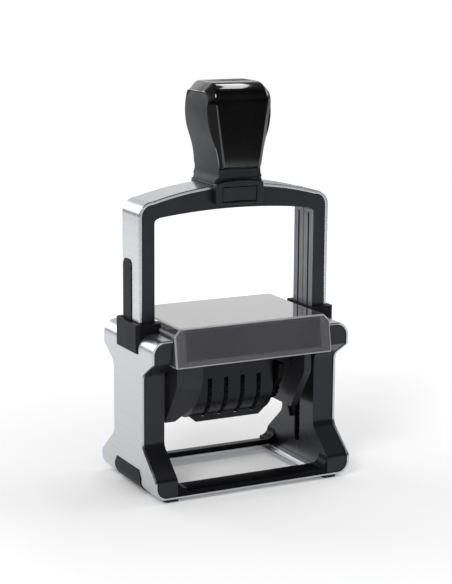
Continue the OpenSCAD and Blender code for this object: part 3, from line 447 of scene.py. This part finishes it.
def lofted(rings):
    """Shape of a closed form through rings of equal point counts, in millimetres."""
    form = bmesh.new()
    rows = [[form.verts.new(Vector(point) * MM) for point in ring] for ring in rings]
    for low, high in zip(rows, rows[1:]):
        for k in range(len(low)):
            n = (k + 1) % len(low)
            form.faces.new((low[k], low[n], high[n], high[k]))
    form.faces.new(list(reversed(rows[0])))
    form.faces.new(rows[-1])
    bmesh.ops.recalc_face_normals(form, faces=form.faces)
    return shape_of(form)


def softened(corners, reach, steps=4):
    """Closed outline with each corner swept round over its reach along both edges."""
    # Longest reach as a share of the edge
    longest_share = 0.45
    outline = []
    count = len(corners)
    for i in range(count):
        corner = Vector(corners[i])
        if reach[i] == 0:
            outline.append(corner)
            continue
        ends = []
        for other in (corners[i - 1], corners[(i + 1) % count]):
            edge = Vector(other) - corner
            ends.append(corner + edge.normalized() * min(reach[i], longest_share * edge.length))
        for k in range(steps + 1):
            share = k / steps
            rest = 1 - share
            outline.append(ends[0] * rest ** 2 + corner * 2 * share * rest + ends[1] * share ** 2)
    return outline


def piece(name, shape, finish, body, sharp=SHARP_ANGLE):
    """New mesh object on a body, smooth except across sharp edges."""
    points, faces = shape
    mesh = bpy.data.meshes.new(name)
    mesh.from_pydata(points, [], faces)
    mesh.validate()
    mesh.shade_smooth()
    mesh.set_sharp_from_angle(angle=math.radians(sharp))
    mesh.materials.append(FINISHES[finish])
    made = added(name, mesh)
    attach(made, body)
    return made


def stand_in(node, ending, shape, finish, sharp=SHARP_ANGLE):
    """New piece in the place of a CAD node, on the node's body."""
    made = piece(node + ending, shape, finish, BODY_OF[node], sharp)
    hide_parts(node)
    return made


def dress(node, finish, width, segments):
    """Stands in for a CAD node with the same form, its edges rounded off by a width in millimetres."""
    made = stand_in(node, "_form", merged(frame["nodes"][node]), finish)
    bevel = made.modifiers.new("edges", "BEVEL")
    bevel.width = width * MM
    bevel.segments = segments
    bevel.limit_method = "ANGLE"
    bevel.angle_limit = math.radians(EDGE_ANGLE)
    bevel.use_clamp_overlap = True
    bevel.harden_normals = True
    return made


def spring(node):
    """Round wire wound with closed end coils, in the space of the CAD spring."""
    # Radius of the wire, turns in all and closed turns at each end
    wire, curls, closed = 0.35 * MM, 34, 1.5
    # Rise of a closed turn in wire widths
    closed_rise = 1.02
    # Points along one turn and round the wire
    along, around = 18, 10
    low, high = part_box(node)
    middle = (low + high) / 2
    radius = (high.x - low.x) / 2 - wire
    steps = curls * along
    tail = 2 * wire * closed_rise
    reach = high.z - low.z - 2 * wire
    open_rise = (reach - 2 * closed * tail) / (curls - 2 * closed)
    points = []
    for i in range(steps + 1):
        turn = i / along
        if turn < closed:
            rise = turn * tail
        elif turn > curls - closed:
            rise = reach - (curls - turn) * tail
        else:
            rise = closed * tail + (turn - closed) * open_rise
        angle = 2 * math.pi * turn
        for k in range(around):
            section = 2 * math.pi * k / around
            r = radius + wire * math.cos(section)
            z = low.z + wire + rise + wire * math.sin(section)
            points.append((middle.x + r * math.cos(angle), middle.y + r * math.sin(angle), z))
    faces = []
    for i in range(steps):
        for k in range(around):
            n = (k + 1) % around
            faces.append((i * around + k, (i + 1) * around + k, (i + 1) * around + n, i * around + n))
    faces.append(tuple(range(around)))
    faces.append(tuple(steps * around + k for k in reversed(range(around))))
    made = stand_in(node, "_coil", (points, faces), "steel")
    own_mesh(made)


def pad(node):
    """Felt pad with rounded edges and a fibrous top and underside, in the space of the CAD pad."""
    # Cells along x, y and z
    cells = (64, 44, 6)
    edge = 0.9 * MM
    # Fine and coarse fibres per metre, and how deep they lie
    fine, coarse, fibre_depth = 1900, 700, 0.05 * MM
    # Share by which the pad is smaller than its space, so that the fibres stay inside
    play = 0.002
    # Share of the half height past which a point is on the top or the underside
    face_share = 0.99
    low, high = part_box(node)
    middle = (low + high) / 2
    half = (high - low) / 2
    form = bmesh.new()
    bmesh.ops.create_cube(form, size=2.0)
    for axis, count in enumerate(cells):
        lines = [line for line in form.edges if abs((line.verts[0].co - line.verts[1].co)[axis]) > 1.0]
        bmesh.ops.subdivide_edges(form, edges=lines, cuts=count - 1, use_grid_fill=True)
    for vert in form.verts:
        on_face = abs(vert.co.z) > face_share
        spot = Vector([vert.co[k] * half[k] for k in range(3)])
        core = Vector([max(-half[k] + edge, min(half[k] - edge, spot[k])) for k in range(3)])
        out = spot - core
        if out.length > 0:
            spot = core + out.normalized() * edge
        fibre = (noise.noise(spot * coarse) + noise.noise(spot * fine)) / 2
        spot = spot * (1 - play)
        if on_face:
            spot.z -= fibre_depth * fibre
        vert.co = middle + spot
    made = stand_in(node, "_felt", shape_of(form), "felt", sharp=180)


# Front outline of the knob in millimetres: half widths, heights and the flare of its foot
NECK, BULGE = 11.0, 16.5
NECK_Z, BULGE_Z = 144.5, 172.1
FOOT_OUT, FOOT_RISE = 1.5, 3.6
# Share of the bulge in the two arcs between neck and bulge
BULGE_SHARE = 0.45
# Inward sweep of the knob's sides at their front and rear edges
SWEEP = 0.45


def hollow(radius, distance):
    """Depth of a round hollow at a distance from its lowest point."""
    return radius - math.sqrt(radius * radius - distance * distance)


def knob_half(z):
    """Half width of the knob at a height."""
    step = BULGE - NECK
    rise = BULGE_Z - NECK_Z
    radii = (step * step + rise * rise) / (2 * step)
    bulge_r = radii * BULGE_SHARE
    neck_r = radii - bulge_r
    if z < NECK_Z:
        foot_r = (FOOT_OUT * FOOT_OUT + FOOT_RISE * FOOT_RISE) / (2 * FOOT_OUT)
        return NECK + hollow(foot_r, min(NECK_Z - z, FOOT_RISE))
    if z < NECK_Z + rise * neck_r / radii:
        return NECK + hollow(neck_r, z - NECK_Z)
    return BULGE - hollow(bulge_r, z - BULGE_Z)


def between(table, z):
    """Value at z from a table of z and value, straight between its rows."""
    for (z0, v0), (z1, v1) in zip(table, table[1:]):
        if z <= z1:
            return v0 + (v1 - v0) * (z - z0) / (z1 - z0)
    return table[-1][1]


def grip(node):
    """Matt core of the knob: sides crowned from front to back over a waisted outline."""
    # Height and half depth: the foot in the saddle, the step on it, the neck and the core of the knob
    depths = [(139.8, 10.9), (141.5, 10.9), (142.2, 12.6), (144.5, 12.2), (148.0, 12.2), (180.1, 10.9)]
    # Height between rings, rings above the foot and steps from front to back
    ring_gap, ring_count, across = 1.3, 30, 12
    even = {depths[0][0] + ring_gap * i for i in range(1, ring_count + 1)}
    shares = [2 * k / across - 1 for k in range(across + 1)]
    rings = []
    for z in sorted({z for z, depth in depths} | even):
        depth = between(depths, z)
        half = knob_half(z)
        side = [(half - SWEEP * share * share, depth * share, z) for share in shares]
        rings.append(side + [(-x, y, z) for x, y, z in reversed(side)])
    stand_in(node, "_form", lofted(rings), "grip")


def wrap(node):
    """Glossy band bent over the knob, with bevelled sides and a ledge under its faces."""
    # All in millimetres: how far the faces reach below the CAD band, its bend and the ledge
    foot_drop, bend, ledge = 2.0, 8.5, 1.2
    # Height above the foot up to which the ledge has cross-sections of its own
    ledge_zone = 1.5 * ledge
    # Half widths of the front face at its foot and at its bend
    narrow, wide = 9.0, 13.0
    # Bevel of the rear face at its foot and at its bend
    rear_low, rear_high = 1.2, 4.4
    # Half width of the crown and its bevel
    crown, crown_bevel = 11.6, 4.0
    # Thickness at the foot and at the bend, and what the crown has more
    thin, thick, crown_more = 2.4, 3.7, 0.8
    least_bevel, least_wall = 0.15, 0.1
    # Rounding of the bevel at the face and at the side
    face_round, side_round = 0.8, 0.5
    # Steps along a face, a bend and the crown
    straight, turn, flat = 18, 10, 10
    # Sideways lean of the bevels, which have a duller finish up to the bend
    lean_from, lean_to = 0.55, 0.95

    low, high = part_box(node)
    foot, top, face = low.z / MM - foot_drop, high.z / MM, high.y / MM
    rise = top - bend - foot
    bend_side = knob_half(top - bend) - SWEEP
    stations = []

    def station(y, z, inward, outer, side, bevel, depth):
        """Adds a cross-section of the band, with room for its bevel."""
        depth = max(depth, bevel + least_wall)
        stations.append((y, z, inward, outer, side, max(bevel, least_bevel), depth))

    def leg(sign, share):
        """Station on the front (sign -1) or rear (sign 1) face at a share of its height."""
        z = foot + rise * share
        side = knob_half(z) - SWEEP
        front_half = narrow + (wide - narrow) * share
        rear_half = side - rear_low - (rear_high - rear_low) * share
        outer = min(front_half if sign < 0 else rear_half, side - least_bevel)
        depth = thin + (thick - thin) * share
        if share == 0:
            station(sign * (face - ledge), z, (-sign, 0), outer, side, side - outer, depth - ledge)
            station(sign * face, z + ledge, (-sign, 0), outer, side, side - outer, depth)
        elif rise * share > ledge_zone:
            station(sign * face, z, (-sign, 0), outer, side, side - outer, depth)

    def corner(sign, share):
        """Station on the front or rear bend at a share of its quarter turn."""
        angle = math.pi / 2 * share
        first_half = wide if sign < 0 else bend_side - rear_high
        first_bevel = bend_side - wide if sign < 0 else rear_high
        outer = first_half * (1 - share) + crown * share
        bevel = first_bevel * (1 - share) + crown_bevel * share
        y = sign * (face - bend * (1 - math.cos(angle)))
        z = top - bend * (1 - math.sin(angle))
        inward = (-sign * math.cos(angle), -math.sin(angle))
        station(y, z, inward, outer, bend_side, bevel, thick + crown_more * share)

    for k in range(straight):
        leg(-1, k / straight)
    for k in range(turn):
        corner(-1, k / turn)
    for k in range(flat + 1):
        y = (face - bend) * (2 * k / flat - 1)
        lift = SWEEP * (1 - (y / (face - bend)) ** 2)
        station(y, top, (0, -1), crown, bend_side + lift, crown_bevel, thick + crown_more)
    for k in range(turn - 1, -1, -1):
        corner(1, k / turn)
    for k in range(straight - 1, 0, -1):
        leg(1, k / straight)
    back = len(stations)
    leg(1, 0)
    stations[back:] = stations[back:][::-1]

    rings = []
    for y, z, inward, outer, side, bevel, depth in stations:
        outline = softened(
            [(-outer, 0), (outer, 0), (side, bevel), (side, depth), (-side, depth), (-side, bevel)],
            [face_round, face_round, side_round, 0, 0, side_round],
        )
        rings.append([(point.x, y + inward[0] * point.y, z + inward[1] * point.y) for point in outline])
    made = stand_in(node, "_form", lofted(rings), "gloss")
    made.data.materials.append(FINISHES["gloss_side"])
    for polygon in made.data.polygons:
        if lean_from < abs(polygon.normal.x) < lean_to and polygon.center.z < (top - bend) * MM:
            polygon.material_index = 1


def setting_gear(name, side):
    """Toothed setting wheel in line with the wheel rod, at one end of the guard, its dark bulk also
    standing in for the shade there.
    """
    teeth, tooth_height = 22, 1.0
    # Shares of a tooth's pitch and of its height along one tooth
    profile = ((0.0, 0.0), (0.2, 1.0), (0.5, 1.0), (0.7, 0.0))
    # Distance from the middle of the stamp and root radius in millimetres, with chamfered rims
    layers = ((24.0, 8.2), (24.5, 8.9), (26.4, 8.9), (26.9, 8.2))
    low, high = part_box("wheel_rod")
    middle = (low + high) / (2 * MM)
    rings = []
    for x, root in layers:
        ring = []
        for k in range(teeth):
            for part, lift in profile:
                angle = 2 * math.pi * (k + part) / teeth
                r = root + tooth_height * lift
                ring.append((side * x, middle.y + r * math.cos(angle), middle.z + r * math.sin(angle)))
        rings.append(ring)
    piece(name, lofted(rings), "wheel", "rotor")


def rod_bracket(name, side):
    """Plate under the rotor's flange, between the wheel rod and the setting wheel."""
    # Outline in y and z, along the flange and round the lower end, in millimetres
    corners = [
        (-13.5, 53.7), (9.0, 53.7), (12.0, 46.0), (8.0, 36.5), (1.0, 35.0), (-6.0, 39.0), (-12.5, 46.5),
    ]
    rounding = [0.3, 0.3, 2.0, 2.5, 2.5, 2.5, 2.0]
    # Distance from the middle of the stamp and inset of the outline in millimetres, with chamfered edges
    layers = ((21.0, 0.3), (21.3, 0.0), (23.7, 0.0), (24.0, 0.3))
    inset_towards = Vector((0.0, 46.0))
    outline = softened(corners, rounding)
    rings = []
    for x, inset in layers:
        ring = [point - (point - inset_towards).normalized() * inset for point in outline]
        rings.append([(side * x, point.x, point.y) for point in ring])
    piece(name, lofted(rings), "bar", "rotor")


def cover(node):
    """Clear cover whose rounded edges get a paler, non-clear finish: a painted highlight."""
    made = dress(node, "smoke", width=0.70, segments=4)
    made.data.materials.append(FINISHES["smoke_edge_highlight"])
    made.modifiers["edges"].material = 1


def bow_frame(node):
    """Half of the bow's moulded frame, the inner sides of its legs painted paler as a reflection of the
    bright studio.
    """
    # Half width that the inner sides stay within, height that they end below, and how upright they are
    inner, beam, upright = 41.0 * MM, 124.0 * MM, 0.9
    made = dress(node, "black", width=0.40, segments=3)
    made.data.materials.append(FINISHES["leg"])
    for face in made.data.polygons:
        faces_in = abs(face.normal.x) > upright and face.center.x * face.normal.x < 0
        if faces_in and abs(face.center.x) < inner and face.center.z < beam:
            face.material_index = 1


# Pieces that keep their CAD form: finish, edge width in millimetres and steps across the edge
FORMS = [
    ("shell", 0.22, 2, ("outer_shell",)),
    ("bow", 0.60, 4, ("bow_skin",)),
    ("wall", 0.30, 3, both("frame_wall")),
    ("trim", 0.25, 2, both("cam_track") + both("side_foot")),
    ("trim", 0.50, 3, both("collar")),
    ("bar", 0.30, 3, ("front_bar", "rear_bar")),
    ("trim", 0.20, 2, both("leg_strip")),
    ("black", 0.20, 2, ("lock_button_front", "lock_button_rear")),
    ("black", 0.45, 3, ("saddle",)),
    ("rim", 0.15, 2, ("window_rim",)),
    ("foot", 0.35, 3, ("rubber_feet",)),
    ("steel", 0.12, 2, ("base_screws", "wheel_rod") + both("axle_pin") + both("cam_pin")),
    ("nylon", 0.20, 2, both("axle_bush")),
    ("bar", 0.30, 2, ("pad_tray",)),
    ("rotor", 0.35, 3, ("rotor_body",) + both("rotor_arm")),
    ("guard", 0.30, 3, ("dater_guard",)),
    ("die", 0.25, 2, ("die_plate", "band_nose")),
    ("print", 0.15, 2, ("text_plate",)),
    ("band", 0.12, 2, tuple("date_band_%d" % i for i in range(1, 5))),
    ("wheel", 0.15, 2, tuple("date_wheel_%d" % i for i in range(1, 5))),
]

for finish, width, segments, nodes in FORMS:
    for node in nodes:
        dress(node, finish, width, segments)
for node in both("return_spring"):
    spring(node)
pad("ink_pad")
cover("pad_cover")
grip("knob_grip")
wrap("knob_wrap")
for gear, bracket, side in zip(both("setting_gear"), both("rod_bracket"), (-1, 1)):
    setting_gear(gear, side)
    rod_bracket(bracket, side)
for node in ("bow_frame_front", "bow_frame_rear"):
    bow_frame(node)


def make_camera():
    """Camera at the photograph's place, with its yaw, pitch, roll and field of view."""
    place = (-0.34945, -0.67561, 0.24447)
    yaw, pitch, roll = 0.477122677, 0.20390023, 0.00713456
    focal_pixels, picture_height = 1679.6, 584
    ahead = Vector((math.sin(yaw) * math.cos(pitch), math.cos(yaw) * math.cos(pitch), -math.sin(pitch)))
    right = Vector((math.cos(yaw), -math.sin(yaw), 0.0))
    up = right.cross(ahead)
    across = right * math.cos(roll) + up * math.sin(roll)
    upward = up * math.cos(roll) - right * math.sin(roll)
    lens = bpy.data.cameras.new("view")
    lens.sensor_width = 36.0
    lens.lens = focal_pixels * lens.sensor_width / picture_height
    lens.clip_start = 0.01
    lens.clip_end = 100.0
    camera = added("view", lens)
    turn = Matrix((across, upward, -ahead)).transposed().to_4x4()
    camera.matrix_world = Matrix.Translation(place) @ turn
    bpy.context.scene.camera = camera


def make_floor():
    """Round pale floor that shows white around the object and keeps its soft shadow."""
    radius, corners = 1.05, 128
    # Distances from the middle, and the floor's own light there in what the camera and mirrors see
    near, far = 0.10, 0.42
    near_light, far_light = 0.10, 0.34
    rim = [2 * math.pi * i / corners for i in range(corners)]
    points = [(radius * math.cos(angle), radius * math.sin(angle), 0) for angle in rim]
    mesh = bpy.data.meshes.new("floor")
    mesh.from_pydata(points, [], [tuple(range(corners))])
    floor = added("floor", mesh)
    finish = Finish("pale_floor", Roughness=0.9, Specular_IOR_Level=0.1)
    clouds = finish.noise(per_metre=30, detail=4.0, roughness=0.5)
    finish.colour(finish.mix(clouds, (0.89, 0.89, 0.895), (0.91, 0.91, 0.915)))
    distance = finish.add("ShaderNodeVectorMath", operation="LENGTH")
    finish.link(finish.place, distance.inputs[0])
    level = finish.spread(distance.outputs["Value"], near_light, far_light, source=(near, far))
    glow = finish.add("ShaderNodeEmission")
    finish.link(finish.join("MULTIPLY", finish.seen(), level), glow.inputs["Strength"])
    both_lights = finish.add("ShaderNodeAddShader")
    finish.link(finish.shader.outputs["BSDF"], both_lights.inputs[0])
    finish.link(glow.outputs["Emission"], both_lights.inputs[1])
    finish.link(both_lights.outputs["Shader"], finish.tree.nodes["Material Output"].inputs["Surface"])
    mesh.materials.append(finish.material)


def make_world():
    """White studio with plain light; what is mirrored of it is darker in front, low and overhead."""
    front_level, table_level, plain_level = 0.06, 0.85, 0.60
    # Ranges of a direction's y, z and x: from the front to the back, up from the table, towards the right
    to_back, off_table, to_right = (-0.45, 0.05), (-0.22, -0.12), (-0.2, 0.3)
    # Share of the way from straight down to straight up, and the level that is mirrored there
    low_stops = [(0.0, 0.75), (0.45, 0.75), (0.51, 0.18), (0.545, 0.20)]
    high_stops = [(0.57, 0.65), (0.60, 1.0), (0.72, 1.0), (0.80, 0.40), (0.87, 0.14), (1.0, 0.14)]
    world = bpy.data.worlds.new("studio")
    bpy.context.scene.world = world
    world.use_nodes = True
    dome = Nodes(world.node_tree)
    dome.tree.nodes.clear()
    way = dome.parts(dome.add("ShaderNodeTexCoord").outputs["Generated"])
    behind = dome.spread(way["Y"], front_level, 1.0, source=to_back)
    table = dome.spread(way["Z"], table_level, 0.0, source=off_table)
    right = dome.spread(way["X"], 0.0, 1.0, source=to_right)
    share = dome.join("MAXIMUM", behind, dome.join("MULTIPLY", table, right))
    height = dome.ramp(dome.spread(way["Z"], 0.0, 1.0, source=(-1.0, 1.0)), low_stops + high_stops)
    mirrored = dome.mix(share, (0.0, 0.0, 0.0), height)
    camera_ray = dome.add("ShaderNodeLightPath").outputs["Is Camera Ray"]
    shown = dome.add("ShaderNodeBackground")
    dome.link(dome.mix(camera_ray, mirrored, (1.0, 1.0, 1.0)), shown.inputs["Color"])
    light = dome.add("ShaderNodeBackground")
    light.inputs["Color"].default_value = (1, 1, 1, 1)
    light.inputs["Strength"].default_value = plain_level
    blend = dome.add("ShaderNodeMixShader")
    dome.link(dome.seen(), blend.inputs["Fac"])
    dome.link(light.outputs["Background"], blend.inputs[1])
    dome.link(shown.outputs["Background"], blend.inputs[2])
    dome.link(blend.outputs["Shader"], dome.add("ShaderNodeOutputWorld").inputs["Surface"])


def make_lamp(name, place, aim, width, power, length=None, along=(0, 0, 1)):
    """Soft lamp at a place, turned towards a height on the z axis; a long one lies along a direction."""
    data = bpy.data.lights.new(name, "AREA")
    data.shape = "RECTANGLE"
    data.size = width
    data.size_y = length or width
    data.energy = power
    away = (Vector(place) - Vector((0, 0, aim))).normalized()
    across = Vector(along).cross(away).normalized()
    turn = Matrix((across, away.cross(across), away)).transposed().to_4x4()
    lamp = added(name, data)
    lamp.matrix_world = Matrix.Translation(place) @ turn
    lamp.visible_camera = False


make_camera()
make_floor()
make_world()
make_lamp("key", place=(-0.9, -0.7, 1.0), aim=0.09, width=0.4, power=6.0)
make_lamp("side", place=(1.2, -0.1, 0.7), aim=0.09, width=0.5, power=3.0)
make_lamp(
    "strip", place=(0.58, 0.22, 1.30), aim=0.18, width=0.12, power=2.2, length=0.9, along=(0, -0.98, 0.19)
)
make_lamp("back", place=(-0.50, 1.09, 0.48), aim=0.10, width=0.5, power=2.0)
bpy.context.scene.view_settings.view_transform = "Standard"
